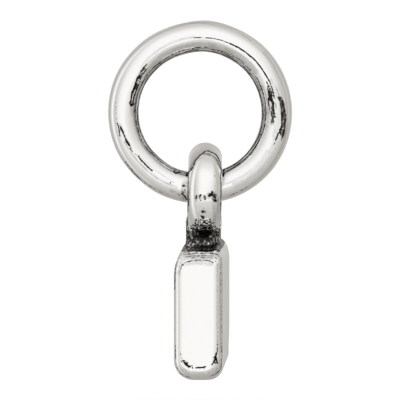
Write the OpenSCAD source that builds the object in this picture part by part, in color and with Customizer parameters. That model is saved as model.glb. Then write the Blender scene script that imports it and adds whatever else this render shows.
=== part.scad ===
// Silver block charm with a cast loop, hanging from a round jump ring.
// Millimetres. The origin is the inside top of the ring, where a bracelet link or clasp holds it.
// +Z is up. The ring stands in the XZ plane. The charm hangs below it with its loop and its broad
// faces in YZ planes, so that its narrow side faces -Y.

/* [Jump ring] */
// Inside diameter of the ring
ring_bore = 4.8; // [4.4:0.1:6]
// Diameter of the ring's wire
ring_wire = 1.2; // [0.9:0.05:1.25]

/* [Loop] */
// Diameter of the loop's hole
loop_bore = 1.5; // [1.45:0.05:1.8]
// Thickness of the loop's bar from its hole outwards
loop_bar = 1.1; // [0.9:0.05:1.2]
// Width of the loop's bar along its hole
loop_wide = 1.35; // [1.3:0.05:1.5]
// Clearance where the loop hangs on the ring
hang_gap = 0.12; // [0.06:0.01:0.15]
// How far right of the ring's middle the loop hangs
loop_shift = 0.19; // [0:0.01:0.2]
// Lean of the loop to the right of upright, in degrees
loop_lean = 1.4; // [0:0.1:2]

/* [Block] */
// Thickness of the block, between its broad faces
block_thick = 1.94; // [1.8:0.02:2.4]
// Width of the block's broad faces
block_wide = 4.8; // [4.6:0.1:5.5]
// Height of the block
block_high = 5.06; // [4:0.02:7]
// How far left of the loop's middle the block's middle is
block_shift = 0.11; // [0:0.01:0.15]
// Rounding of the broad faces' top edges
top_round = 0.45; // [0.4:0.01:0.6]
// Rounding of the four upright edges
side_round = 0.4; // [0.2:0.01:0.45]
// Rounding of the lower corners of the narrow sides
foot_round = 0.7; // [0.3:0.02:0.8]
// Rounding of the broad faces' lower corners
corner_round = 0.5; // [0.3:0.05:0.8]
// Height of the shoulders, where the block thins towards its top
shoulder_high = 0.85; // [0.8:0.05:1.5]
// How much each shoulder thins the block at its top
shoulder_in = 0.28; // [0.2:0.01:0.35]
// How far down each narrow side its bevel comes
bevel_high = 0.35; // [0.2:0.05:0.5]
// How far in over the block's top each bevel reaches
bevel_deep = 0.4; // [0.4:0.1:0.7]

/* [Neck] */
// Height of the neck between the loop's underside and the block's top
neck_high = 0.31; // [0.2:0.01:0.4]
// Thickness of the neck where it is narrowest
neck_thick = 1.25; // [1.2:0.05:1.3]
// Width of the neck where it is narrowest, across its thickness
neck_wide = 1.6; // [1.4:0.1:1.8]
// Radius of the hollow curve that spreads the neck onto the block
neck_round = 0.42; // [0.3:0.02:0.44]

/* [Hidden] */
$fn = 96;

ring_middle = -ring_bore / 2;
ring_radius = (ring_bore + ring_wire) / 2;
loop_middle = -ring_bore + hang_gap - loop_bore / 2;
loop_outer = loop_bore / 2 + loop_bar;
block_top = loop_middle - loop_outer - neck_high;
// Radius of the arc that rises shoulder_high while it comes in by shoulder_in
shoulder_round = (pow(shoulder_high, 2) + pow(shoulder_in, 2)) / (2 * shoulder_in);
neck_sunk = 0.04; // how far the neck's foot goes into the block
cut = 1; // how far a cutting shape reaches past what it cuts

// Draws a profile, X along X and Y up Z, out evenly to both sides in Y.
module along_y(length) {
    rotate([90, 0, 0])
        linear_extrude(height = length, center = true)
            children();
}

// Draws a profile, X along Y and Y up Z, out evenly to both sides in X.
module along_x(length) {
    rotate([90, 0, 90])
        linear_extrude(height = length, center = true)
            children();
}

// A rectangle with round corners, its top edge centred on the origin.
module hanging_rectangle(wide, high, top_r, foot_r) {
    translate([-wide / 2 + top_r, -high / 2])
        square([wide - 2 * top_r, high / 2]);
    translate([-wide / 2, -high + foot_r])
        square([wide, high - top_r - foot_r]);
    translate([-wide / 2 + foot_r, -high])
        square([wide - 2 * foot_r, high / 2]);
    for (side = [-1, 1]) {
        translate([side * (wide / 2 - top_r), -top_r])
            circle(r = top_r);
        translate([side * (wide / 2 - foot_r), -high + foot_r])
            circle(r = foot_r);
    }
}

// Everything to the left of the right-hand shoulder, which rises straight and then arcs in.
module left_of_shoulder() {
    translate([block_thick / 2 - shoulder_round, -shoulder_high])
        circle(r = shoulder_round);
    translate([-block_thick / 2 - cut, -block_high - cut])
        square([block_thick + cut, block_high + cut - shoulder_high]);
}

// The block as its narrow side shows it.
module edge_profile() {
    intersection() {
        hanging_rectangle(block_thick, block_high, top_round, foot_round);
        left_of_shoulder();
        mirror([1, 0]) left_of_shoulder();
    }
}

// The block as its broad side shows it, with a bevel above each narrow side.
module face_profile() {
    difference() {
        hanging_rectangle(block_wide, block_high, top_round, corner_round);
        for (side = [-1, 1])
            polygon([
                [side * (block_wide / 2 - 2 * bevel_deep), bevel_high],
                [side * (block_wide / 2 + bevel_deep), -2 * bevel_high],
                [side * (block_wide / 2 + bevel_deep), bevel_high]
            ]);
    }
}

// The block, where its outlines from the narrow side, the broad side and above all overlap.
module block() {
    intersection() {
        along_y(block_wide + cut)
            edge_profile();
        along_x(block_thick + cut)
            face_profile();
        translate([0, block_wide / 2, -block_high - cut / 2])
            linear_extrude(height = block_high + cut)
                hanging_rectangle(block_thick, block_wide, side_round, side_round);
    }
}

// The loop: a bar with round sides, bent to a circle about X round the origin.
module loop() {
    r = loop_bar / 2;
    half_flat = loop_wide / 2 - r;
    rotate([0, 90, 0])
        rotate_extrude()
            translate([loop_bore / 2 + r, 0]) {
                square([loop_bar, 2 * half_flat], center = true);
                for (side = [-1, 1])
                    translate([0, side * half_flat])
                        circle(r = r);
            }
}

// The neck: an oval post with its foot on the origin, spreading in a hollow curve towards both ends
// of the block's top. It is cut off flat where it would spread past the shoulders.
module neck() {
    post_high = neck_high + neck_sunk + loop_bar / 2;
    foot_thick = neck_thick + neck_round / 8;
    intersection() {
        scale([1, neck_wide / neck_thick, 1])
            rotate_extrude()
                difference() {
                    translate([0, -corner_round])
                        square([neck_thick / 2 + neck_round, post_high + corner_round]);
                    translate([neck_thick / 2 + neck_round, neck_round])
                        circle(r = neck_round);
                    translate([neck_thick / 2, neck_round])
                        square([neck_round + cut, post_high + cut]);
                }
        translate([-foot_thick / 2, -block_wide / 2, -corner_round])
            cube([foot_thick, block_wide, post_high + corner_round]);
    }
}

// The charm is one casting: block, neck and loop.
module block_charm() {
    color([0.90, 0.89, 0.87])
        translate([loop_shift, 0, 0]) {
            translate([0, 0, loop_middle])
                rotate([0, loop_lean, 0])
                    loop();
            translate([-block_shift * 0.6, 0, block_top - neck_sunk])
                neck();
            translate([-block_shift, 0, block_top])
                block();
        }
}

// The jump ring: round wire, soldered shut.
module jump_ring() {
    color([0.92, 0.91, 0.89])
        translate([0, 0, ring_middle])
            rotate([90, 0, 0])
                rotate_extrude()
                    translate([ring_radius, 0])
                        circle(d = ring_wire);
}

jump_ring();
block_charm();
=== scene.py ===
"""A silver block charm hanging from its jump ring: its dressed pieces, their silver and the studio."""
import math

import bpy
import numpy as np
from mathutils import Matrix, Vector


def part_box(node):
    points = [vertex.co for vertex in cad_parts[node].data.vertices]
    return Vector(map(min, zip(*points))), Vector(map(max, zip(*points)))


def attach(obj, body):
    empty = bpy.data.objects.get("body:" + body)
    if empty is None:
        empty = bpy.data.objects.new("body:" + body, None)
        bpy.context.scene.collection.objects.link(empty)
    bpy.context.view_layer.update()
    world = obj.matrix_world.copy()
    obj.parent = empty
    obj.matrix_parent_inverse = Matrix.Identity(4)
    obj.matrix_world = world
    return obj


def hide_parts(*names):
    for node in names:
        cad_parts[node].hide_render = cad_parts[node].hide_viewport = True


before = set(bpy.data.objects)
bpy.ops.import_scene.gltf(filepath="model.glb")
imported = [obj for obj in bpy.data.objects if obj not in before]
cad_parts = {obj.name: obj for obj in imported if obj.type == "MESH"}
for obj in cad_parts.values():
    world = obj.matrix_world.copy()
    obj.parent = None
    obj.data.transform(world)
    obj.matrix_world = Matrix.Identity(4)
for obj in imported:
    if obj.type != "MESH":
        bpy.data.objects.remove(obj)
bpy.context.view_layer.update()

# Shapes are worked out in millimetres, and turned into metres when they become meshes.
MM = 0.001

# Where the CAD's two solids lie: the lowest and the highest corner of each.
RING_LOW, RING_HIGH = (np.array(corner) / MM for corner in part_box("jump_ring"))
CHARM_LOW, CHARM_HIGH = (np.array(corner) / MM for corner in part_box("block_charm"))

# Two kinds of value come up again and again below, and are called so beside them. A rise is (how much,
# where it starts, where it is full). A span is (where a change starts, where it is full).

# The jump ring. The origin is its inside top, so its highest point is as high as its wire is thick.
# The dressed wire is a hair thinner, which keeps it inside the solid's box.
RING_THICK = RING_HIGH[2]
RING_THINNER = 0.001
RING_WIRE = RING_THICK / 2.0 - RING_THINNER
RING_RADIUS = RING_HIGH[0] - RING_THICK / 2.0
RING_MIDDLE_Z = (RING_LOW[2] + RING_HIGH[2]) / 2.0

# The ring is flattened a little on both sides of the top, at the lower left and at the bottom, and its
# wire is a little thicker at the top. Each of these is (degrees clockwise from the top, how many
# degrees it reaches to either side, depth).
RING_FLATS = [(-15, 25, 0.05), (-40, 30, 0.03), (25, 25, 0.02), (-135, 20, 0.03), (180, 55, 0.04)]
RING_SWELLING = (5, 15, 0.01)

# How many points go round the ring, and round the front and the back half of its wire.
RING_ROUNDS = 800
RING_FRONT_SIDES = 84
RING_BACK_SIDES = 36

# Where the wire's bore starts, as a span of places across the wire: 1 is outermost, -1 is innermost.
# The bore is darkened by streaks of painted shade.
BORE_SPAN = (-0.66, -0.82)

# The loop. It is cast with a slight twist against the block, and leans a little to the right. Its bar
# is a little wider halfway up, and squarer on the right, except at the loop's top.
LOOP_MIDDLE = (0.185, 0.0, -5.43)
LOOP_RADIUS = 1.2
LOOP_HALF_WIDE = 0.655
LOOP_OUTER_BAR = 0.655
LOOP_INNER_BAR = 0.45
LOOP_LEAN = math.radians(0.9)
LOOP_TWIST = math.radians(3.4)
LOOP_WIDER = (0.02, 1.2, 0.2)  # a rise, by height above or below the loop's middle
LOOP_SQUARER = (0.6, 0.0, 0.35)  # a rise, by place to the right
LOOP_UNDER_TOP = (1.85, 1.3)  # a span of heights above the loop's middle

# The neck, and the fillets at its top and at its foot
NECK_MIDDLE = (0.14, 0.0, -7.15)
NECK_HALF = (0.66, 0.80, 0.78)
NECK_ROUND = 0.3
NECK_TOP_FILLET = 0.15
NECK_FOOT_FILLET = 0.25

# The block as its narrow side shows it. The top is a little higher at the right, and the right side is
# tucked in a little at the foot. A shoulder is (how far in it is at the top, how far down it reaches,
# the power that it curves by), and its curve goes on above the top to a limit.
BLOCK_X = 0.081
BLOCK_HALF_THICK = 0.968
BLOCK_HALF_WIDE = CHARM_HIGH[1]
BLOCK_HIGH = 5.06
BLOCK_FOOT = CHARM_LOW[2]
BLOCK_TOP = BLOCK_FOOT + BLOCK_HIGH
TOP_HIGHER = (0.12, 0.50, 0.78)  # a rise, by x
TOP_RADIUS = 0.12
LEFT_SHOULDER = (0.27, 0.85, 1.4)
RIGHT_SHOULDER = (0.28, 0.95, 2.6)
SHOULDER_LIMIT = 1.3
FOOT_TUCK = (0.03, 1.7, 0.6)  # a rise, by height above the foot
LEFT_FOOT_RADIUS = 0.76
RIGHT_FOOT_RADIUS = 0.56

# The block's edges round each narrow side. They are rounder at the right. At the foot they are rounder
# at the front, most of all at the right.
EDGE_ROUND = 0.40
EDGE_ROUNDER = (0.05, -0.5, 0.5)  # a rise, by x
FOOT_ROUND = 0.38
FOOT_FRONT_ROUNDER = 0.08
FOOT_RIGHT_ROUNDER = (0.16, 0.2, 0.8)  # a rise, by x
FOOT_FRONT = (0.5, -0.5)  # a span of y
FOOT_HIGH = (0.9, 0.3)  # a span of heights above the foot

# The bevel above each narrow side: how steep it is, a point on it as (y, z), and how round its edges are
BEVEL_SLOPE = math.radians(50.0)
BEVEL_START = (2.36, -7.92)
BEVEL_ROUND = 0.2

# The flat middle of each narrow side, as (x, z), which polishing has left a border of fine waves round.
# A narrow side is what lies further out than the nearest y and lower than the highest z.
FLAT_MIDDLE = (0.05, -10.32)
FLAT_HALF = (0.70, 2.08)
FLAT_CORNER = 0.34
FLAT_NEAREST_Y = 1.75
FLAT_HIGHEST_Z = BLOCK_TOP + 0.05
NO_BORDER = -1.0

# The oxide in the hollow round the neck. It starts lower away from the neck's middle line, thickens
# twice on its way down, thins twice at the neck's foot, and ends at the block's top. It doesn't reach
# the block's narrow sides.
OXIDE_START = -6.42
OXIDE_LOWER_START = (0.32, 0.15, 0.6)  # a rise, by distance from the neck's middle line
OXIDE_FIRST = (0.60, 0.0, 0.30)  # a rise, by depth below the start
OXIDE_SECOND = (0.40, -6.80, -7.05)  # a rise, by z
OXIDE_THINNER = [(0.10, -7.36, -7.44), (0.33, -7.50, -7.58)]  # rises, by z
OXIDE_THINNER_ASIDE = (0.70, 0.50)  # a span of distances from the neck's middle line
OXIDE_END = (-7.70, -7.62)  # a span of z
OXIDE_DEEP = (2.15, 1.85)  # a span of y, either way

# The grid that the charm's surface is found on. From front to back it is coarser, most at the back.
SKIN_X = (-1.1, 1.28)
SKIN_Y = (-2.6, 2.7)
SKIN_Z = (-12.9, -3.4)
SKIN_STEP = 0.029
SKIN_FRONT_STEP = 0.036
SKIN_BACK_STEP = 0.10
SKIN_BACK_START = -0.6

# The camera stands in front of the ring, a little right of it and above it.
CAMERA_AZIMUTH = math.radians(3.6)
CAMERA_ELEVATION = math.radians(5.1)
CAMERA_DISTANCE = 130.0
CAMERA_AIM = (0.0, 0.0, -5.826)
CAMERA_SENSOR = 36.0
CAMERA_NEAREST = 5.0
CAMERA_FURTHEST = 10000.0
PIXELS_PER_MM = 25.56
FRAME_PIXELS = 400

# The floor, a little under the charm
FLOOR_Z = -14.6
FLOOR_HALF = 2000.0
FLOOR_COLOUR = (0.92, 0.92, 0.92, 1.0)
FLOOR_ROUGHNESS = 0.9

# Where the ring lies in the photograph's pixels: its middle, the wire's middle line and half width.
RING_CENTRE = (199.8, 111.6)
RING_PIXELS = (76.35, 15.35)

# A mark's edge is soft over some pixels and a share of its half width. A mark shows where the surface
# faces the front, as a span of how squarely it does.
MARK_SOFT_PIXELS = 0.4
MARK_SOFT_SHARE = 0.25
MARK_FACING = (0.05, 0.20)

# Marks on the ring's front, each a path, its half width in pixels of the photograph's frame and
# its strength. A path's points are (degrees clockwise from the top, place across the wire, 1 at
# its outer edge and -1 at its inner edge). Lines are black, like the charm's black dots and the
# painted black shade in its neck's hollow. Most lines are painted dark reflections, and those in
# the bore, at the outer edge and beside the loop are painted shadow. Dark mottle is grainy like the
# oxide, and in the bore it is painted shade. Painted shade is a thin grey, laid where the silver's
# reflections are greyer.
# Mostly painted dark reflections; in the bore, at the outer edge and by the loop, painted shadow.
RING_LINES = [
    ([(-4.5, -0.15), (5, -0.15), (13, -0.12), (20, -0.13), (27, -0.12)], 0.55, 0.80),
    ([(24, -0.13), (30, -0.11), (36, -0.09), (41, -0.10), (47, -0.06), (56, -0.07),
      (66, -0.04)], 0.8, 1.0),
    ([(66, -0.02), (70, -0.03), (76, -0.03), (80, -0.05)], 0.7, 0.85),
    ([(66, -0.20), (74, -0.21), (78, -0.29), (84, -0.24)], 0.6, 0.85),
    ([(78.5, -0.42), (81, -0.46), (88.5, -0.43)], 0.6, 0.95),
    ([(88.5, -0.44), (97, -0.47), (106, -0.50)], 0.4, 0.45),
    ([(72, 0.24), (81, 0.31), (88, 0.30)], 0.5, 0.65),
    ([(101.5, 0.42), (103, 0.36), (104.5, 0.40), (106, 0.33), (108, 0.33), (110.5, 0.30)], 0.8, 1.0),
    ([(112, 0.33), (114.5, 0.30)], 0.5, 0.8),
    ([(148, 0.83), (163, 0.82)], 0.5, 0.55),
    ([(-160, 0.87), (-150, 0.85), (-140, 0.89), (-123, 0.87)], 0.5, 0.55),
    ([(-138, 0.90), (-124, 0.87)], 0.6, 0.75),
    ([(-141, -0.02), (-139, -0.04), (-137, -0.02), (-134, -0.04), (-130, -0.01), (-126, -0.03)], 0.8, 1.0),
    ([(-126, -0.02), (-124, 0.03), (-121, 0.13), (-118, 0.16)], 0.5, 0.70),
    ([(-119, 0.16), (-117, 0.11), (-115, 0.16), (-112, 0.12), (-109, 0.16), (-106, 0.20)], 0.7, 0.75),
    ([(-106, 0.19), (-103.5, 0.25), (-101, 0.27)], 0.9, 0.95),
    ([(-107, 0.47), (-104, 0.43), (-100.5, 0.41), (-98, 0.46)], 0.7, 0.85),
    ([(-98, 0.46), (-91, 0.48), (-80, 0.54)], 0.4, 0.50),
    ([(-84, -0.50), (-83, -0.36), (-81.5, -0.43)], 0.8, 0.95),
    ([(-82, -0.45), (-78, -0.42), (-74, -0.38), (-70, -0.43), (-65, -0.40), (-61, -0.38)], 0.8, 1.0),
    ([(-61, -0.40), (-55, -0.35), (-48, -0.33)], 0.6, 0.85),
    ([(-82, -0.60), (-76, -0.58), (-70, -0.63), (-63, -0.62)], 0.6, 0.80),
    ([(-89.8, -0.77), (-88.5, -0.79)], 0.8, 0.95),
    ([(-160.5, -0.77), (-159.3, -0.68), (-158, -0.66), (-156.7, -0.74)], 0.8, 1.0),
    ([(-157.6, 0.04), (-157.5, 0.03)], 0.7, 1.0),
    ([(-167.2, 0.55), (-168.5, 0.40)], 0.6, 0.85),
    ([(-168.7, 0.53), (-170.3, 0.68), (-172, 0.85)], 0.7, 0.90),
    ([(-165, 0.62), (-167.5, 0.66), (-170, 0.80)], 0.4, 0.65),
    ([(-169.5, -1.0), (-168.2, -0.72)], 1.3, 1.0),
    ([(-168.5, 0.06), (-166.5, -0.03)], 0.6, 0.80),
    ([(160.3, -0.48), (158.3, -0.72), (157.6, -0.92), (159, -1.0)], 0.9, 1.0),
    ([(-60, -0.80), (-40, -0.83), (-30, -0.84), (-20, -0.82), (-10, -0.85), (-3, -0.80), (5, -0.77),
      (12, -0.84), (18, -0.80), (25, -0.78), (36, -0.72), (45, -0.73), (60, -0.67)], 0.5, 0.72),
    ([(60, -0.67), (75, -0.68), (90, -0.66), (105, -0.65), (120, -0.68), (140, -0.71),
      (157, -0.70)], 0.6, 0.85),
    ([(-60, -0.97), (-40, -0.98), (-25, -1.0), (0, -1.0), (20, -0.98), (40, -0.96), (60, -0.92)], 0.6, 0.80),
    ([(60, -0.92), (85, -0.88), (110, -0.83), (125, -0.85), (145, -0.86), (157, -0.86)], 0.7, 0.85),
    ([(20, -0.88), (35, -0.86), (60, -0.82), (80, -0.78), (96, -0.74)], 0.4, 0.60),
    ([(-168, -0.80), (-155, -0.83), (-140, -0.86), (-130, -0.79), (-115, -0.76), (-100, -0.79),
      (-89, -0.79), (-75, -0.77), (-60, -0.80)], 0.5, 0.72),
    ([(-168, -0.96), (-150, -0.95), (-138, -0.97), (-129, -0.93), (-105, -0.90), (-92, -0.92),
      (-75, -0.94), (-60, -0.97)], 0.6, 0.75),
]
# Dark mottle; in the bore it is painted shade.
RING_MOTTLE_AND_SHADE = [
    ([(-84, -0.50), (-74, -0.50), (-62, -0.46), (-52, -0.42)], 2.4, 0.68),
    ([(-92, -0.62), (-86, -0.62), (-80, -0.62)], 1.6, 0.46),
    ([(70, -0.20), (78, -0.26), (86, -0.26), (93, -0.20)], 2.2, 0.78),
    ([(78, -0.06), (90, -0.10), (98, -0.16)], 2.0, 0.58),
    ([(80, 0.32), (88, 0.43), (95, 0.50)], 2.2, 0.78),
    ([(84, 0.42), (92, 0.48), (100, 0.55), (105, 0.60)], 2.8, 0.84),
    ([(103, 0.66), (109, 0.62)], 1.4, 0.60),
    ([(-119, 0.12), (-110, 0.16), (-102, 0.25)], 1.6, 0.62),
    ([(-168.5, -0.1), (-169, 0.30)], 2.0, 0.46),
    ([(-168, 0.45), (-171, 0.75)], 2.2, 0.46),
    ([(-60, -0.90), (0, -0.92), (60, -0.85)], 1.6, 0.34),
    ([(60, -0.82), (90, -0.80), (110, -0.76)], 1.5, 0.34),
]
# Painted grey shade, where the ring's reflections are greyer.
RING_PAINTED_SHADE = [
    ([(-20, 0.84), (-5, 0.83), (0, 0.79), (5, 0.76), (15, 0.74), (36, 0.74)], 0.6, 0.30),
    ([(-52, -0.18), (-40, -0.15), (-25, -0.13), (-4, -0.11)], 1.0, 0.34),
    ([(66, 0.06), (80, 0.05), (96, 0.10), (108, 0.12)], 2.2, 0.26),
    ([(108, 0.20), (125, 0.26), (140, 0.24), (155, 0.20)], 1.6, 0.26),
    ([(110, 0.46), (130, 0.44), (154, 0.42)], 2.8, 0.14),
    ([(120, 0.10), (140, 0.08), (163, 0.02)], 1.0, 0.26),
    ([(-163, 0.20), (-142, 0.15), (-125, 0.21), (-112, 0.28)], 1.3, 0.42),
    ([(-160, -0.05), (-150, -0.18), (-135, -0.17), (-125, -0.10)], 0.5, 0.30),
    ([(-92, -0.62), (-84, -0.58), (-74, -0.54), (-62, -0.46), (-52, -0.36)], 2.4, 0.42),
    ([(-168.5, -0.2), (-168.5, 0.2), (-169.5, 0.8)], 3.0, 0.50),
    ([(-166, 0.55), (-160, 0.50)], 1.6, 0.34),
    ([(72, -0.22), (80, -0.28), (92, -0.22), (99, -0.18)], 2.4, 0.44),
    ([(82, 0.34), (90, 0.44), (98, 0.53), (106, 0.62)], 2.6, 0.44),
    ([(-119, 0.12), (-110, 0.16), (-100, 0.30)], 2.0, 0.34),
    ([(68, -0.58), (85, -0.58), (105, -0.58), (130, -0.62)], 1.2, 0.42),
    ([(-56, -0.66), (-30, -0.66), (0, -0.64), (30, -0.60), (54, -0.52)], 3.2, 0.32),
    ([(48, 0.70), (66, 0.55), (84, 0.42)], 2.0, 0.16),
]

# Marks on the charm's front, the same but with each path's points in the photograph's pixels. Most
# of its lines, and its mottle on the loop and at the foot, are painted dark reflections; the lines
# along the loop's sides and round the foot are painted shadow.
CHARM_LINES = [
    ([(189.6, 171.5), (191.4, 169.8), (194.3, 163.9), (195.3, 160.9), (198.2, 157.6), (201.2, 154.3),
      (203.6, 152.3), (205.5, 151.1), (208.5, 151.1), (212.2, 152.6), (214.2, 153.6), (216.5, 155.2),
      (217.8, 157.6), (219.8, 160.9), (221, 164.2), (222.1, 168.2)], 0.6, 0.90),
    ([(188.2, 172), (187.8, 178), (187.6, 190)], 0.9, 0.95),
    ([(187.4, 190), (187.8, 198), (188.5, 203), (188.2, 206)], 0.8, 0.95),
    ([(187.8, 207), (187.4, 215), (187.2, 226), (187, 232)], 0.8, 0.72),
    ([(221.8, 170), (220.6, 176), (221.3, 184), (221, 198), (220.8, 208), (220.4, 216), (220.2, 226)],
     0.7, 0.80),
    ([(196.4, 169), (195.8, 175), (195.5, 190)], 0.4, 0.42),
    ([(213.2, 161.5), (214.2, 168), (215, 178), (215, 190)], 0.5, 0.42),
    ([(196.2, 196), (195.9, 198.5), (196.5, 200.5)], 0.6, 0.85),
    ([(200.9, 194.8), (199.8, 197.5), (200.5, 200.3)], 0.8, 0.70),
    ([(204.4, 196.2), (205.6, 197.8), (204.4, 199.3), (203.3, 197.8), (204.4, 196.2)], 0.4, 0.62),
    ([(212.2, 191.5), (211.8, 194.5), (210, 196.8)], 0.8, 0.90),
    ([(214.5, 195.5), (215.2, 198), (213.8, 201), (216, 201.5)], 0.6, 0.85),
    ([(184.6, 249.3), (192, 248.8), (200, 248.2), (206, 247.4)], 0.45, 0.80),
    ([(187.5, 251.2), (196, 250.8), (205, 250.6), (212, 250.2), (217.0, 249.9)], 0.6, 0.85),
    ([(184, 254.6), (193.5, 253.7), (205, 253.5), (213, 253.5), (217.5, 254.5), (219.2, 257)], 0.45, 0.84),
    ([(184.5, 256.8), (193, 255.9), (205, 255.6), (213, 256.0), (217.3, 258.6)], 0.40, 0.76),
    ([(183, 260.2), (188, 258.5), (196, 257.9), (206, 257.8), (213, 258.6), (216.4, 262)], 0.40, 0.68),
    ([(180.6, 269.6), (181, 267.4), (182, 265.3), (184.6, 263.5), (186.4, 262.1), (191.8, 260.8),
      (198.5, 260.1), (205.2, 260.1), (210.1, 261), (213.2, 262.6)], 0.5, 0.92),
    ([(179.6, 276), (180.0, 272), (180.6, 269.6)], 0.4, 0.60),
    ([(221.3, 242), (223.5, 244.7)], 0.7, 0.95),
    ([(218.6, 247), (221.7, 248.8)], 0.6, 0.90),
    ([(176.4, 262), (175.6, 268), (174.9, 276), (174.8, 290)], 0.6, 0.75),
    ([(221.0, 258), (221.2, 300), (221.5, 345)], 0.4, 0.40),
    ([(221.5, 345), (222.1, 355), (221.6, 361), (221.2, 366.5), (220.2, 369.8), (216.4, 373.6),
      (210, 376.2)], 0.5, 0.72),
    ([(181.5, 361.6), (182.5, 360.4), (184.4, 360.8)], 0.6, 1.0),
    ([(184.8, 362.6), (186.6, 364.8), (188.8, 366.4)], 1.2, 1.0),
    ([(190.8, 366.9), (192, 365)], 0.3, 0.6),
    ([(196.2, 367.7), (200.8, 367.7), (203, 367.4), (205.5, 366.6)], 0.9, 1.0),
    ([(216.2, 353.4), (216.0, 355.2)], 1.1, 1.0),
    ([(215.6, 356.5), (216.4, 359.5), (217.2, 362.8)], 0.9, 1.0),
    ([(215.6, 358.2), (213.9, 361.8), (211.8, 364.8)], 0.8, 1.0),
    ([(217.7, 344), (217.3, 352)], 0.5, 0.70),
    ([(179.8, 347), (180.4, 353), (181.8, 358.8)], 0.4, 0.60),
    ([(175.3, 345), (175.6, 358), (176.6, 366), (178.6, 371.6), (183.4, 375.8), (190, 377.4)], 0.5, 0.62),
]
# Dark mottle, mostly painted dark reflection on the loop's front and at the foot.
CHARM_MOTTLE_AND_SHADE = [
    ([(210.0, 195.5), (213, 193.5), (215, 199)], 2.6, 0.80),
    ([(199.6, 195), (200.8, 199.6)], 1.4, 0.68),
    ([(204.5, 196.4), (204.5, 199.2)], 1.4, 0.80),
    ([(210, 225.8), (214, 227), (218.6, 228.8)], 1.8, 0.62),
    ([(187.6, 229), (190, 227.4), (194, 225.6)], 1.8, 0.56),
    ([(196.1, 196), (196.3, 200.2)], 0.8, 0.74),
    ([(188.2, 184), (188.6, 200)], 1.2, 0.56),
    ([(184, 361.6), (186, 362.3), (189.5, 366.5)], 1.5, 0.70),
    ([(191.5, 365.5), (192.8, 367.8)], 1.0, 0.48),
    ([(204.0, 367.4), (205.4, 366.8)], 1.2, 0.80),
    ([(196, 220.5), (195.6, 223)], 1.4, 0.72),
    ([(203.5, 221.8), (205, 222.3), (207.4, 223.9)], 1.3, 0.74),
    ([(213.2, 220.5), (212.8, 222.8)], 1.0, 0.66),
    ([(190, 226.3), (191.5, 229.2)], 1.3, 0.66),
    ([(214.8, 358), (215.4, 362)], 1.8, 0.84),
    ([(217.6, 340), (217.2, 352)], 0.9, 0.60),
]
# Painted black shade in the neck's hollow, and small black dots on the loop's front.
CHARM_BLACK_DOTS_AND_SHADE = [
    ([(203.6, 208.6), (203.8, 208.6)], 0.5, 0.6),
    ([(202.6, 211.6), (203, 211.6)], 1.5, 1.0),
    ([(203.6, 211.8), (205.2, 211.8)], 0.9, 0.9),
    ([(203.1, 217.5), (203.0, 217.3)], 1.7, 1.0),
    ([(202.4, 217.0), (201.4, 216.2)], 1.0, 1.0),
    ([(200.6, 231.4), (207, 231.2)], 2.0, 1.0),
    ([(200.8, 234.2), (207.4, 234.2)], 2.0, 1.0),
    ([(200.8, 237.0), (207, 236.8)], 2.0, 1.0),
    ([(200.8, 238.8), (207, 238.6)], 1.5, 0.9),
    ([(193.5, 236.0), (199, 236.4)], 1.6, 0.75),
]
# Painted grey shade, where the charm's reflections are greyer.
CHARM_PAINTED_SHADE = [
    ([(190.5, 175), (193.5, 168), (197.5, 161.5), (202, 157.5), (207, 155.6), (212, 157), (216, 161.5),
      (218.5, 168), (219, 176)], 0.5, 0.30),
    ([(186, 257.0), (199, 256.6), (212, 256.9)], 1.6, 0.30),
    ([(184, 263.6), (198, 262.2), (211, 263.8)], 2.4, 0.30),
    ([(213.4, 202), (214.4, 212), (214.4, 224)], 1.6, 0.30),
    ([(187.4, 205), (187.2, 218), (186.8, 230)], 1.3, 0.60),
    ([(187.6, 176), (187.6, 204)], 1.6, 0.34),
    ([(218.5, 198), (218.6, 226)], 1.4, 0.26),
    ([(209.6, 195.8), (213, 194.0), (215.4, 199)], 3.4, 0.50),
    ([(196.2, 197), (200, 196.5), (204.6, 197.8)], 2.4, 0.34),
    ([(217.4, 264), (217.6, 300), (217.4, 352)], 1.0, 0.34),
    ([(220.9, 258), (221.0, 300), (221.3, 352)], 0.8, 0.46),
    ([(183.6, 256.2), (198, 255.4), (213, 255.8)], 0.4, 0.30),
    ([(214.8, 358), (215.6, 362)], 1.8, 0.60),
    ([(185.2, 363), (189, 366.6)], 1.8, 0.55),
    ([(182.4, 369.6), (189, 373.4), (198, 374.2), (207, 373.6), (215.4, 369)], 2.6, 0.22),
]

# Silver's colours: bare, the grey of painted shade, the two ends of the mottled oxide and dark mottle,
# and the black in lines, dots and the painted shade of hollows
BARE = (0.955, 0.95, 0.94)
PAINTED_SHADE_GREY = (0.33, 0.318, 0.30)
MOTTLED_DARK = (0.030, 0.028, 0.026)
MOTTLED_PALE = (0.27, 0.26, 0.25)
BLACK = (0.007, 0.007, 0.006)

# Silver's noises, as (grains in a millimetre, detail). Streaks first say how much slower they change
# along the wire than across it.
FINE_NOISE = (12.0, 0.5)
COARSE_NOISE = (5.0, 2.0)
COARSE_SHARE = 0.20
MOTTLE_STREAKS = (0.22, 12.0, 1.0)
BORE_STREAKS = (0.10, 11.0, 3.0)
POLISH_NOISE = (1.2, 2.0)
RIPPLE_NOISE = (6.0, 2.0)
UNEVEN_NOISE = (0.45, 0.0)

# How noise breaks up the marks. Each ramp is a span, with its ends' values where they aren't 0 and 1.
LINE_RAMP = (-0.16, 0.20)
MOTTLE_GAIN = 0.52
MOTTLE_START = 0.20
MOTTLE_EDGE_RAMP = (-0.015, 0.02)
STREAK_RAMP = (0.60, 0.40)
STREAK_STRENGTH = 0.75
PAINTED_SHADE_RAMP = (0.62, 0.40, 0.60, 1.35)
MOTTLED_RAMP = (0.44, 0.62)

# Roughness of polished silver, by its noise, and of what has gone dark
POLISH_RAMP = (0.3, 0.7, 0.05, 0.11)
DARK_ROUGHNESS = 0.35

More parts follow.
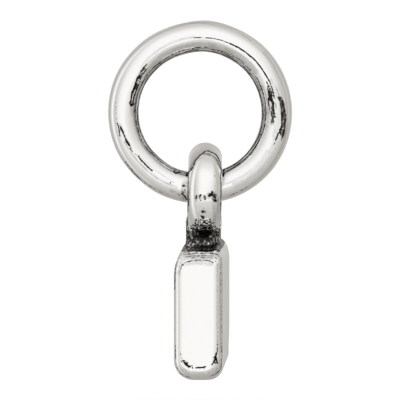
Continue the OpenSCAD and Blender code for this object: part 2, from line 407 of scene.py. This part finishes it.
# The border of fine waves: how far apart they are, how high beside the ripple, and where they start
# and end, outward from the flat middle
WAVE_LENGTH = 0.095
WAVE_HEIGHT = 0.55
WAVES_START = (-0.02, 0.03)
WAVES_END = (0.60, 0.50)

# How high the fine ripple is that polishing has left all over
RIPPLE_HEIGHT = 0.0022

# What the silver reflects, as (degrees, brightness) from straight back through the front and round
# again: once going over the top and under, and once round the sides.
OVER = [
    (-180, 0.52), (-150, 0.50), (-125, 0.42), (-100, 0.39), (-80, 0.48), (-60, 0.56), (-43, 0.64),
    (-30, 0.72), (-25, 0.74), (-23, 0.96), (-18, 0.98), (-11, 1.0), (45, 1.0), (52, 0.95), (63, 0.86),
    (74, 0.77), (86, 0.65), (95, 0.66), (100, 0.62), (112, 0.62), (114.5, 0.38), (118, 0.44),
    (122, 0.49), (135, 0.52), (150, 0.53), (180, 0.52),
]
ROUND = [
    (-180, 0.58), (-155, 0.68), (-133, 0.45), (-118, 0.50), (-104, 0.62), (-97, 0.80), (-92, 0.98),
    (-78, 0.98), (-73, 0.68), (-66, 0.60), (-55, 0.68), (-47, 0.80), (-44, 0.68), (-41, 0.86),
    (-30, 0.93), (-12, 0.99), (8, 1.0), (20, 0.90), (35, 0.80), (50, 0.72), (74, 0.60), (84, 0.45),
    (92, 0.50), (99, 0.60), (117, 0.50), (133, 0.45), (155, 0.68), (180, 0.58),
]

# How much green and blue the studio loses as it goes from white to black: its shade is warm.
SHADE_WARMTH = (0.055, 0.145)

# The light overhead reaches this many degrees further back at the right, from a span of degrees on.
FURTHER_BACK = 40.0
FURTHER_FROM = (95.0, 110.0)

# What lies low takes its light from the list that goes over, except far at the left. These are spans of
# degrees over, of z and of x.
LOW_OVER = (-20.0, -26.0)
LOW_Z = (-0.10, -0.25)
LOW_X = (-0.85, -0.45)

# How strong the plain white light is that falls on everything, and that shows behind the object
PLAIN_LIGHT = 1.15


def smooth_step(low, high, value):
    """0 below low, 1 above high, and a smooth rise between."""
    t = np.clip((value - low) / (high - low), 0.0, 1.0)
    return t * t * (3.0 - 2.0 * t)


def risen(value, height, start, full):
    """How far a rise has come at a value."""
    return height * smooth_step(start, full, value)


def smooth_union(a, b, fillet):
    """Joins two distance fields with a fillet of about that size."""
    h = np.clip(0.5 + 0.5 * (b - a) / fillet, 0.0, 1.0)
    return b + (a - b) * h - fillet * h * (1.0 - h)


def round_corner(a, b, radius):
    """Where two fields overlap, with the edge between them rounded to a radius."""
    reach = np.hypot(np.maximum(a + radius, 0.0), np.maximum(b + radius, 0.0))
    return np.minimum(-radius, np.maximum(a, b)) + reach


def loop_field(p):
    """Distance from the loop: a bar bent to a circle, thicker outside than in and squarer on the right."""
    x, y, z = (p - np.array(LOOP_MIDDLE)).T
    side = x * math.cos(LOOP_TWIST) + y * math.sin(LOOP_TWIST)
    deep = y * math.cos(LOOP_TWIST) - x * math.sin(LOOP_TWIST)
    along = side * math.cos(LOOP_LEAN) - z * math.sin(LOOP_LEAN)
    up = side * math.sin(LOOP_LEAN) + z * math.cos(LOOP_LEAN)
    out = np.hypot(deep, up) - LOOP_RADIUS
    half_wide = LOOP_HALF_WIDE + risen(np.abs(up), *LOOP_WIDER)
    depth = np.where(out > 0.0, LOOP_OUTER_BAR, LOOP_INNER_BAR)
    power = 2.0 + risen(along, *LOOP_SQUARER) * smooth_step(*LOOP_UNDER_TOP, up)
    reach = np.abs(along / half_wide) ** power + np.abs(out / depth) ** power
    return (reach ** (1.0 / power) - 1.0) * half_wide


def neck_field(p):
    """Distance from the short post that joins the loop to the block."""
    q = np.abs(p - np.array(NECK_MIDDLE)) - np.array(NECK_HALF) + NECK_ROUND
    return np.linalg.norm(np.maximum(q, 0.0), axis=1) + np.minimum(q.max(axis=1), 0.0) - NECK_ROUND


def shoulder(below, inset, reach, power):
    """How far in the block's side is at that depth below the block's top."""
    return inset * np.clip(1.0 - below / reach, 0.0, SHOULDER_LIMIT) ** power


def block_outline(x, z):
    """Distance from the block's outline as its narrow side shows it, with a long left shoulder."""
    at_left = x < BLOCK_X
    top = BLOCK_TOP + risen(x, *TOP_HIGHER)
    left = shoulder(top - z, *LEFT_SHOULDER)
    right = shoulder(top - z, *RIGHT_SHOULDER) + risen(z - BLOCK_FOOT, *FOOT_TUCK)
    side = np.abs(x - BLOCK_X) - BLOCK_HALF_THICK + np.where(at_left, left, right)
    foot = round_corner(side, BLOCK_FOOT - z, np.where(at_left, LEFT_FOOT_RADIUS, RIGHT_FOOT_RADIUS))
    return round_corner(foot, z - top, TOP_RADIUS)


def block_field(p):
    """Distance from the block: rounded upright edges, and a bevel above each narrow side."""
    x, y, z = p.T
    sides = EDGE_ROUND + risen(x, *EDGE_ROUNDER)
    front = smooth_step(*FOOT_FRONT, y)
    foot = FOOT_ROUND + front * (FOOT_FRONT_ROUNDER + risen(x, *FOOT_RIGHT_ROUNDER))
    rounding = sides + (foot - sides) * smooth_step(*FOOT_HIGH, z - BLOCK_FOOT)
    block = round_corner(block_outline(x, z), np.abs(y) - BLOCK_HALF_WIDE, rounding)
    across = (np.abs(y) - BEVEL_START[0]) * math.cos(BEVEL_SLOPE)
    bevel = across + (z - BEVEL_START[1]) * math.sin(BEVEL_SLOPE)
    return round_corner(block, bevel, BEVEL_ROUND)


def charm_field(p):
    """Distance from the whole charm, one casting."""
    upper = smooth_union(loop_field(p), neck_field(p), NECK_TOP_FILLET)
    return smooth_union(upper, block_field(p), NECK_FOOT_FILLET)


def slopes(field, p):
    """The field's gradient at each point."""
    near = 0.0005
    columns = []
    for axis in range(3):
        step = np.zeros(3)
        step[axis] = near
        columns.append((field(p + step) - field(p - step)) / (2.0 * near))
    return np.stack(columns, axis=1)


def skin(field, axes):
    """The surface where a field is zero, as (points, four-sided faces), one point to each grid cell."""
    grid = np.stack(np.meshgrid(*axes, indexing="ij"), axis=-1)
    value = field(grid.reshape(-1, 3)).reshape(grid.shape[:3])
    cells = tuple(n - 1 for n in value.shape)
    corners = [(i, j, k) for i in (0, 1) for j in (0, 1) for k in (0, 1)]

    def corner(array, c):
        return array[c[0]:c[0] + cells[0], c[1]:c[1] + cells[1], c[2]:c[2] + cells[2]]

    total = np.zeros(cells + (3,))
    count = np.zeros(cells)
    for a in corners:
        for axis in range(3):
            if a[axis]:
                continue
            b = tuple(v + (n == axis) for n, v in enumerate(a))
            fa, fb = corner(value, a), corner(value, b)
            crosses = (fa < 0) != (fb < 0)
            share = np.where(crosses, fa / np.where(crosses, fa - fb, 1.0), 0.0)
            place = corner(grid, a) + share[..., None] * (corner(grid, b) - corner(grid, a))
            total += np.where(crosses[..., None], place, 0.0)
            count += crosses
    used = count > 0
    number = np.full(cells, -1)
    number[used] = np.arange(used.sum())
    points = total[used] / count[used][:, None]

    faces = []
    for axis in range(3):
        first, second = (axis + 1) % 3, (axis + 2) % 3
        before = np.moveaxis(value, (axis, first, second), (0, 1, 2))
        around = np.moveaxis(number, (axis, first, second), (0, 1, 2))
        inner, outer = before[:-1, 1:-1, 1:-1] < 0, before[1:, 1:-1, 1:-1] < 0
        quad = np.stack(
            (around[:, :-1, :-1], around[:, 1:, :-1], around[:, 1:, 1:], around[:, :-1, 1:]), axis=-1
        )
        faces.append(quad[inner & ~outer])
        faces.append(quad[~inner & outer][:, ::-1])
    return points, np.concatenate(faces)


def settle(field, points):
    """Moves points on to the surface where the field is zero."""
    rounds = 4
    for _ in range(rounds):
        slope = slopes(field, points)
        points = points - (field(points) / (slope ** 2).sum(axis=1))[:, None] * slope
    return points


def front_pixels(points):
    """Where points show in the photograph's frame, seen from its own side."""
    sin_a, cos_a = math.sin(CAMERA_AZIMUTH), math.cos(CAMERA_AZIMUTH)
    sin_e, cos_e = math.sin(CAMERA_ELEVATION), math.cos(CAMERA_ELEVATION)
    right = np.array((cos_a, sin_a, 0.0))
    up = np.array((-sin_a * sin_e, cos_a * sin_e, cos_e))
    from_aim = points - np.array(CAMERA_AIM)
    nearer = from_aim @ np.cross(right, up)
    scale = PIXELS_PER_MM * CAMERA_DISTANCE / (CAMERA_DISTANCE - nearer)
    half = FRAME_PIXELS / 2.0
    return np.stack((half + scale * (from_aim @ right), half - scale * (from_aim @ up)), axis=1)


def marked(points, normals, marks):
    """How strongly marks cover each point of the front, from 0 to 1."""
    pixels = front_pixels(points)
    cover = np.zeros(len(points))
    for path, half_width, strength in marks:
        path = np.array(path, dtype=float)
        edge = MARK_SOFT_PIXELS + MARK_SOFT_SHARE * half_width
        reach = half_width + edge
        inside = (pixels > path.min(axis=0) - reach) & (pixels < path.max(axis=0) + reach)
        near = np.flatnonzero(inside.all(axis=1) & (normals[:, 1] < 0.0))
        spots = pixels[near]
        nearest = np.full(len(near), np.inf)
        for start, end in zip(path[:-1], path[1:]):
            run = end - start
            share = np.clip((spots - start) @ run / (run @ run), 0.0, 1.0)
            nearest = np.minimum(nearest, np.linalg.norm(spots - start - share[:, None] * run, axis=1))
        shade = strength * smooth_step(reach, half_width - edge, nearest)
        cover[near] = np.maximum(cover[near], shade)
    return cover * smooth_step(*MARK_FACING, -normals[:, 1])


def border_distance(points):
    """How far outside the flat middle of a narrow side each point of that side is."""
    x, y, z = points.T
    aside = np.maximum(np.abs(x - FLAT_MIDDLE[0]) - FLAT_HALF[0] + FLAT_CORNER, 0.0)
    up = np.maximum(np.abs(z - FLAT_MIDDLE[1]) - FLAT_HALF[1] + FLAT_CORNER, 0.0)
    outside = np.hypot(aside, up) - FLAT_CORNER
    return np.where((np.abs(y) > FLAT_NEAREST_Y) & (z < FLAT_HIGHEST_Z), outside, NO_BORDER)


def neck_oxide(points):
    """How much oxide there is in the hollow round the neck, from 0 to 1."""
    x, y, z = points.T
    aside = np.abs(x - NECK_MIDDLE[0])
    start = OXIDE_START - risen(aside, *OXIDE_LOWER_START)
    oxide = risen(start - z, *OXIDE_FIRST) + risen(z, *OXIDE_SECOND)
    thinner = sum(risen(z, *rise) for rise in OXIDE_THINNER) * smooth_step(*OXIDE_THINNER_ASIDE, aside)
    oxide *= smooth_step(*OXIDE_END, z) * (1.0 - thinner)
    return oxide * smooth_step(*OXIDE_DEEP, np.abs(y))


def make_piece(name, points, faces, normals, values):
    """A mesh object from millimetres, with smooth normals and one number a vertex for each value."""
    mesh = bpy.data.meshes.new(name)
    mesh.from_pydata((points * MM).tolist(), [], faces.tolist())
    mesh.validate()
    mesh.shade_smooth()
    for key, numbers in values.items():
        layer = mesh.attributes.new(key, "FLOAT", "POINT")
        layer.data.foreach_set("value", np.ascontiguousarray(numbers, dtype=np.float32))
    mesh.normals_split_custom_set_from_vertices(normals.tolist())
    piece = bpy.data.objects.new(name, mesh)
    bpy.context.scene.collection.objects.link(piece)
    return piece


def ring_paths(marks):
    """Marks given by turn and place across the wire, as marks with paths in the photograph's pixels."""
    parts = 4
    made = []
    for path, half_width, strength in marks:
        turn, place = np.array(path, dtype=float).T
        steps = np.linspace(0.0, len(turn) - 1.0, 1 + parts * (len(turn) - 1))
        turn = np.radians(np.interp(steps, np.arange(len(turn)), turn))
        place = np.interp(steps, np.arange(len(place)), place)
        away = RING_PIXELS[0] + RING_PIXELS[1] * place
        right, down = away * np.sin(turn), -away * np.cos(turn)
        pixels = np.stack((RING_CENTRE[0] + right, RING_CENTRE[1] + down), axis=1)
        made.append((pixels, half_width, strength))
    return made


def hump(turn, place, reach, height):
    """A smooth rise of that height at a place round the ring, in degrees, and nothing past its reach."""
    away = np.abs((np.degrees(turn) - place + 180.0) % 360.0 - 180.0)
    return height * smooth_step(reach, 0.0, away)


def ring_wire(turn):
    """How far from the ring's middle the wire's middle lies, and the wire's radius there."""
    middle = RING_RADIUS - sum(hump(turn, *flat) for flat in RING_FLATS)
    return middle, RING_WIRE + hump(turn, *RING_SWELLING)


def make_ring():
    """The jump ring: round wire, with most of its points on the front, where its marks are."""
    rounds, sides = RING_ROUNDS, RING_FRONT_SIDES + RING_BACK_SIDES
    turn = np.arange(rounds) * 2.0 * math.pi / rounds - math.pi
    quarter = math.pi / 2.0
    roll = np.concatenate((
        np.linspace(-quarter, quarter, RING_FRONT_SIDES, endpoint=False),
        np.linspace(quarter, 3.0 * quarter, RING_BACK_SIDES, endpoint=False),
    ))
    middle, radius = (np.repeat(a, sides) for a in ring_wire(turn))
    turn, roll = (a.ravel() for a in np.meshgrid(turn, roll, indexing="ij"))
    outward = np.stack((np.sin(turn), np.zeros_like(turn), np.cos(turn)), axis=1)
    forward = np.array((0.0, -1.0, 0.0))
    round_wire = np.sin(roll)[:, None] * outward + np.cos(roll)[:, None] * forward
    points = middle[:, None] * outward + radius[:, None] * round_wire
    grid = points.reshape(rounds, sides, 3)
    along = np.roll(grid, -1, axis=0) - np.roll(grid, 1, axis=0)
    across = np.roll(grid, -1, axis=1) - np.roll(grid, 1, axis=1)
    normals = np.cross(along, across).reshape(-1, 3)
    normals /= np.linalg.norm(normals, axis=1)[:, None]
    points[:, 2] += RING_MIDDLE_Z
    i, j = (a.ravel() for a in np.meshgrid(np.arange(rounds), np.arange(sides), indexing="ij"))
    here, ahead = i * sides, (i + 1) % rounds * sides
    beside = (j + 1) % sides
    faces = np.stack((here + j, ahead + j, ahead + beside, here + beside), axis=1)
    # Most of the ring's marks are painted dark reflections and painted shade, and its bore gets painted
    # shade.
    values = {
        "line": marked(points, normals, ring_paths(RING_LINES)),
        "mottle_and_shade": marked(points, normals, ring_paths(RING_MOTTLE_AND_SHADE)),
        "painted_shade": marked(points, normals, ring_paths(RING_PAINTED_SHADE)),
        "bore": smooth_step(*BORE_SPAN, np.sin(roll)),
        "around": RING_RADIUS * turn,
        "across": radius * np.abs((roll + quarter) % (2.0 * math.pi) - math.pi),
        "oxide": np.zeros(len(points)),
        "black_dots_and_shade": np.zeros(len(points)),
        "border": np.full(len(points), NO_BORDER),
    }
    return make_piece("jump_ring_wire", points, faces, normals, values)


def make_charm():
    """The charm: loop, neck and block flowing into each other as one casting."""
    front = np.arange(SKIN_Y[0], SKIN_BACK_START, SKIN_FRONT_STEP)
    back = np.arange(SKIN_BACK_START, SKIN_Y[1], SKIN_BACK_STEP)
    axes = (np.arange(*SKIN_X, SKIN_STEP), np.concatenate((front, back)), np.arange(*SKIN_Z, SKIN_STEP))
    points, faces = skin(charm_field, axes)
    points = settle(charm_field, points)
    normals = slopes(charm_field, points)
    normals /= np.linalg.norm(normals, axis=1)[:, None]
    # Most of the charm's marks are painted dark reflections and painted shadow; the black in the neck's
    # hollow is painted shade.
    values = {
        "line": marked(points, normals, CHARM_LINES),
        "mottle_and_shade": marked(points, normals, CHARM_MOTTLE_AND_SHADE),
        "painted_shade": marked(points, normals, CHARM_PAINTED_SHADE),
        "bore": np.zeros(len(points)),
        "around": points[:, 2],
        "across": points[:, 1],
        "oxide": neck_oxide(points),
        "black_dots_and_shade": marked(points, normals, CHARM_BLACK_DOTS_AND_SHADE),
        "border": border_distance(points),
    }
    return make_piece("block_charm_casting", points, faces, normals, values)


def node(tree, kind, **settings):
    """Adds a shader node and sets its properties."""
    made = tree.nodes.new(kind)
    for key, value in settings.items():
        setattr(made, key, value)
    return made


def math_node(tree, operation, *values):
    """A math node fed by numbers or sockets; returns its output."""
    made = node(tree, "ShaderNodeMath", operation=operation)
    for place, value in enumerate(values):
        if isinstance(value, (int, float)):
            made.inputs[place].default_value = value
        else:
            tree.links.new(value, made.inputs[place])
    return made.outputs[0]


def ramp(tree, value, low, high, start=0.0, end=1.0):
    """A smooth change from start to end while value goes from low to high."""
    made = node(tree, "ShaderNodeMapRange", interpolation_type="SMOOTHSTEP")
    tree.links.new(value, made.inputs["Value"])
    for key, number in zip(("From Min", "From Max", "To Min", "To Max"), (low, high, start, end)):
        made.inputs[key].default_value = number
    return made.outputs["Result"]


def straight_ramp(tree, value, low, high):
    """A straight rise from 0 to 1 while value goes from low to high."""
    made = node(tree, "ShaderNodeMapRange", interpolation_type="LINEAR")
    tree.links.new(value, made.inputs["Value"])
    made.inputs["From Min"].default_value = low
    made.inputs["From Max"].default_value = high
    return made.outputs["Result"]


def blend(tree, share, start, end):
    """A number that goes from start to end as share goes from 0 to 1."""
    made = node(tree, "ShaderNodeMix", data_type="FLOAT")
    for socket, value in zip(made.inputs[0:1] + made.inputs[2:4], (share, start, end)):
        if isinstance(value, (int, float)):
            socket.default_value = value
        else:
            tree.links.new(value, socket)
    return made.outputs[0]


def mixed(tree, share, start, end):
    """A colour that goes from start to end as share goes from 0 to 1; either may be a socket."""
    made = node(tree, "ShaderNodeMix", data_type="RGBA")
    tree.links.new(share, made.inputs["Factor"])
    for key, value in (("A", start), ("B", end)):
        if isinstance(value, tuple):
            made.inputs[key].default_value = (*value, 1.0)
        else:
            tree.links.new(value, made.inputs[key])
    return made.outputs["Result"]


def attribute(tree, name):
    """One of the mesh's numbers, as a socket."""
    return node(tree, "ShaderNodeAttribute", attribute_name=name).outputs["Fac"]


def speckle(tree, place, grains_per_mm, detail):
    """Fine noise, its grains sized in millimetres."""
    made = node(tree, "ShaderNodeTexNoise")
    made.inputs["Scale"].default_value = grains_per_mm / MM
    made.inputs["Detail"].default_value = detail
    tree.links.new(place, made.inputs["Vector"])
    return made.outputs["Fac"]


def streaks(tree, squeeze, grains_per_mm, detail):
    """Fine noise drawn out along the wire, its grains sized in millimetres across the wire."""
    place = node(tree, "ShaderNodeCombineXYZ")
    tree.links.new(math_node(tree, "MULTIPLY", attribute(tree, "around"), squeeze), place.inputs[0])
    tree.links.new(attribute(tree, "across"), place.inputs[1])
    made = node(tree, "ShaderNodeTexNoise")
    made.inputs["Scale"].default_value = grains_per_mm
    made.inputs["Detail"].default_value = detail
    tree.links.new(place.outputs[0], made.inputs["Vector"])
    return made.outputs["Fac"]


def silver(name, drawn, uneven):
    """Polished sterling silver, oxidised in its hollows, with painted shade and painted dark reflections
    in its colour.

    Its mottle and painted shade are drawn out along it by the share drawn, and its faces are as uneven
    as uneven says.
    """
    material = bpy.data.materials.new(name)
    material.use_nodes = True
    tree = material.node_tree
    shader = tree.nodes["Principled BSDF"]
    place = node(tree, "ShaderNodeTexCoord").outputs["Object"]
    fine = speckle(tree, place, *FINE_NOISE)
    grain = blend(tree, COARSE_SHARE, fine, speckle(tree, place, *COARSE_NOISE))
    grain = blend(tree, drawn, grain, streaks(tree, *MOTTLE_STREAKS))

    # Lines, mostly painted dark reflections and painted shadow, are nearly whole; mottle and painted shade
    # break up into grains, and the oxide is solid in the hollow.
    line = math_node(tree, "SUBTRACT", attribute(tree, "line"), fine)
    line = ramp(tree, line, *LINE_RAMP)
    cover = math_node(tree, "MAXIMUM", attribute(tree, "mottle_and_shade"), attribute(tree, "oxide"))
    reach = math_node(tree, "MULTIPLY_ADD", cover, MOTTLE_GAIN, MOTTLE_START)
    mottle_and_shade = ramp(tree, math_node(tree, "SUBTRACT", reach, grain), *MOTTLE_EDGE_RAMP)

    # The wire's bore gets painted shade, in streaks that run along the wire.
    streak = ramp(tree, streaks(tree, *BORE_STREAKS), *STREAK_RAMP)
    streak = math_node(tree, "MULTIPLY", streak, attribute(tree, "bore"))
    cover = math_node(tree, "MAXIMUM", mottle_and_shade, math_node(tree, "MULTIPLY", streak, STREAK_STRENGTH))
    black = math_node(tree, "MAXIMUM", line, attribute(tree, "black_dots_and_shade"))

    # Bare silver under grey painted shade, then the mottled oxide and dark mottle, then black in the lines,
    # the dots and the painted shade of the hollows.
    painted_shade = math_node(tree, "MULTIPLY", attribute(tree, "painted_shade"), ramp(tree, grain, *PAINTED_SHADE_RAMP))
    mottled = mixed(tree, ramp(tree, grain, *MOTTLED_RAMP), MOTTLED_DARK, MOTTLED_PALE)
    colour = mixed(tree, painted_shade, BARE, PAINTED_SHADE_GREY)
    colour = mixed(tree, cover, colour, mottled)
    colour = mixed(tree, black, colour, BLACK)
    tree.links.new(colour, shader.inputs["Base Color"])
    shader.inputs["Metallic"].default_value = 1.0

    # The oxide, the mottle and what is painted dark are rougher than what is polished.
    dark = math_node(tree, "MAXIMUM", cover, black)
    polished = ramp(tree, speckle(tree, place, *POLISH_NOISE), *POLISH_RAMP)
    tree.links.new(blend(tree, dark, polished, DARK_ROUGHNESS), shader.inputs["Roughness"])

    # Polishing left a border of fine waves round the flat middle of each narrow side.
    outward = attribute(tree, "border")
    wave = math_node(tree, "SINE", math_node(tree, "MULTIPLY", outward, 2.0 * math.pi / WAVE_LENGTH))
    started, ended = ramp(tree, outward, *WAVES_START), ramp(tree, outward, *WAVES_END)
    wave = math_node(tree, "MULTIPLY", wave, math_node(tree, "MULTIPLY", started, ended))
    wave = math_node(tree, "MULTIPLY", wave, WAVE_HEIGHT)

    # Hand polishing leaves fine ripples, and wide faces a little uneven.
    height = math_node(tree, "ADD", wave, speckle(tree, place, *RIPPLE_NOISE))
    height = math_node(tree, "MULTIPLY_ADD", speckle(tree, place, *UNEVEN_NOISE), uneven, height)
    bump = node(tree, "ShaderNodeBump")
    bump.inputs["Distance"].default_value = RIPPLE_HEIGHT * MM
    tree.links.new(height, bump.inputs["Height"])
    tree.links.new(bump.outputs["Normal"], shader.inputs["Normal"])
    return material


def tone(tree, degrees, stops):
    """Brightness looked up in stops by an angle from -180 to 180 degrees."""
    made = node(tree, "ShaderNodeValToRGB")
    tree.links.new(straight_ramp(tree, degrees, -180.0, 180.0), made.inputs["Fac"])
    elements = made.color_ramp.elements
    while len(elements) < len(stops):
        elements.new(0.5)
    for element, (angle, level) in zip(elements, stops):
        element.position = (angle + 180.0) / 360.0
        element.color = (level, *(level * (1.0 - loss * (1.0 - level)) for loss in SHADE_WARMTH), 1.0)
    return made.outputs["Color"]


def make_world():
    """The studio as the silver reflects it; plain white for everything else."""
    world = bpy.data.worlds.new("studio")
    bpy.context.scene.world = world
    world.use_nodes = True
    tree = world.node_tree
    tree.nodes.clear()
    direction = node(tree, "ShaderNodeTexCoord").outputs["Generated"]
    split = node(tree, "ShaderNodeSeparateXYZ")
    tree.links.new(direction, split.inputs[0])
    x, y, z = split.outputs

    # A direction's two angles: over the top and under, and round the sides. Both are 0 at the front.
    ahead = math_node(tree, "MULTIPLY", y, -1.0)
    over = math_node(tree, "DEGREES", math_node(tree, "ARCTAN2", z, ahead))
    sideways = math_node(tree, "DEGREES", math_node(tree, "ARCTAN2", x, ahead))
    at_right = math_node(tree, "MAXIMUM", x, 0.0)
    further = math_node(tree, "MULTIPLY", at_right, ramp(tree, over, *FURTHER_FROM))
    over = math_node(tree, "MULTIPLY_ADD", further, -FURTHER_BACK, over)

    # The steeper a direction is, the more of its light comes from the list that goes over. What is added
    # keeps the whole from being nothing straight ahead.
    tiny = 0.0001
    steep = math_node(tree, "MULTIPLY", z, z)
    flat = math_node(tree, "MULTIPLY", x, x)
    whole = math_node(tree, "ADD", math_node(tree, "ADD", steep, flat), tiny)
    low = math_node(tree, "MULTIPLY", ramp(tree, over, *LOW_OVER), ramp(tree, z, *LOW_Z))
    low = math_node(tree, "MULTIPLY", low, ramp(tree, x, *LOW_X))
    share = math_node(tree, "MAXIMUM", math_node(tree, "DIVIDE", steep, whole), low)
    light = mixed(tree, share, tone(tree, sideways, ROUND), tone(tree, over, OVER))

    reflected = node(tree, "ShaderNodeBackground")
    tree.links.new(light, reflected.inputs["Color"])
    plain = node(tree, "ShaderNodeBackground")
    plain.inputs["Color"].default_value = (1.0, 1.0, 1.0, 1.0)
    plain.inputs["Strength"].default_value = PLAIN_LIGHT
    rays = node(tree, "ShaderNodeLightPath")
    mix = node(tree, "ShaderNodeMixShader")
    tree.links.new(rays.outputs["Is Glossy Ray"], mix.inputs["Fac"])
    tree.links.new(plain.outputs[0], mix.inputs[1])
    tree.links.new(reflected.outputs[0], mix.inputs[2])
    output = node(tree, "ShaderNodeOutputWorld")
    tree.links.new(mix.outputs[0], output.inputs["Surface"])


def make_floor():
    """A wide pale floor under the charm, left out of its reflections."""
    half = FLOOR_HALF
    corners = [(-half, -half), (half, -half), (half, half), (-half, half)]
    mesh = bpy.data.meshes.new("floor")
    mesh.from_pydata([(x * MM, y * MM, FLOOR_Z * MM) for x, y in corners], [], [(0, 1, 2, 3)])
    floor = bpy.data.objects.new("floor", mesh)
    bpy.context.scene.collection.objects.link(floor)
    material = bpy.data.materials.new("floor_white")
    material.use_nodes = True
    shader = material.node_tree.nodes["Principled BSDF"]
    shader.inputs["Base Color"].default_value = FLOOR_COLOUR
    shader.inputs["Roughness"].default_value = FLOOR_ROUGHNESS
    mesh.materials.append(material)
    floor.visible_glossy = False


def make_camera():
    """A long lens at the photograph's angle, its frame set by the ring's size."""
    data = bpy.data.cameras.new("camera")
    data.sensor_width = CAMERA_SENSOR
    data.lens = PIXELS_PER_MM * CAMERA_SENSOR * CAMERA_DISTANCE / FRAME_PIXELS
    data.clip_start = CAMERA_NEAREST * MM
    data.clip_end = CAMERA_FURTHEST * MM
    camera = bpy.data.objects.new("camera", data)
    level = math.cos(CAMERA_ELEVATION)
    towards = (
        math.sin(CAMERA_AZIMUTH) * level,
        -math.cos(CAMERA_AZIMUTH) * level,
        math.sin(CAMERA_ELEVATION),
    )
    camera.location = [(a + CAMERA_DISTANCE * t) * MM for a, t in zip(CAMERA_AIM, towards)]
    camera.rotation_euler = (math.pi / 2.0 - CAMERA_ELEVATION, 0.0, CAMERA_AZIMUTH)
    bpy.context.scene.collection.objects.link(camera)
    bpy.context.scene.camera = camera


make_camera()
make_world()
make_floor()
bpy.context.scene.view_settings.view_transform = "Standard"

ring = make_ring()
ring.data.materials.append(silver("ring_silver", drawn=0.65, uneven=8.0))
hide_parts("jump_ring")
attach(ring, "ring")

charm = make_charm()
charm.data.materials.append(silver("charm_silver", drawn=0.0, uneven=22.0))
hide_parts("block_charm")
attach(charm, "charm")
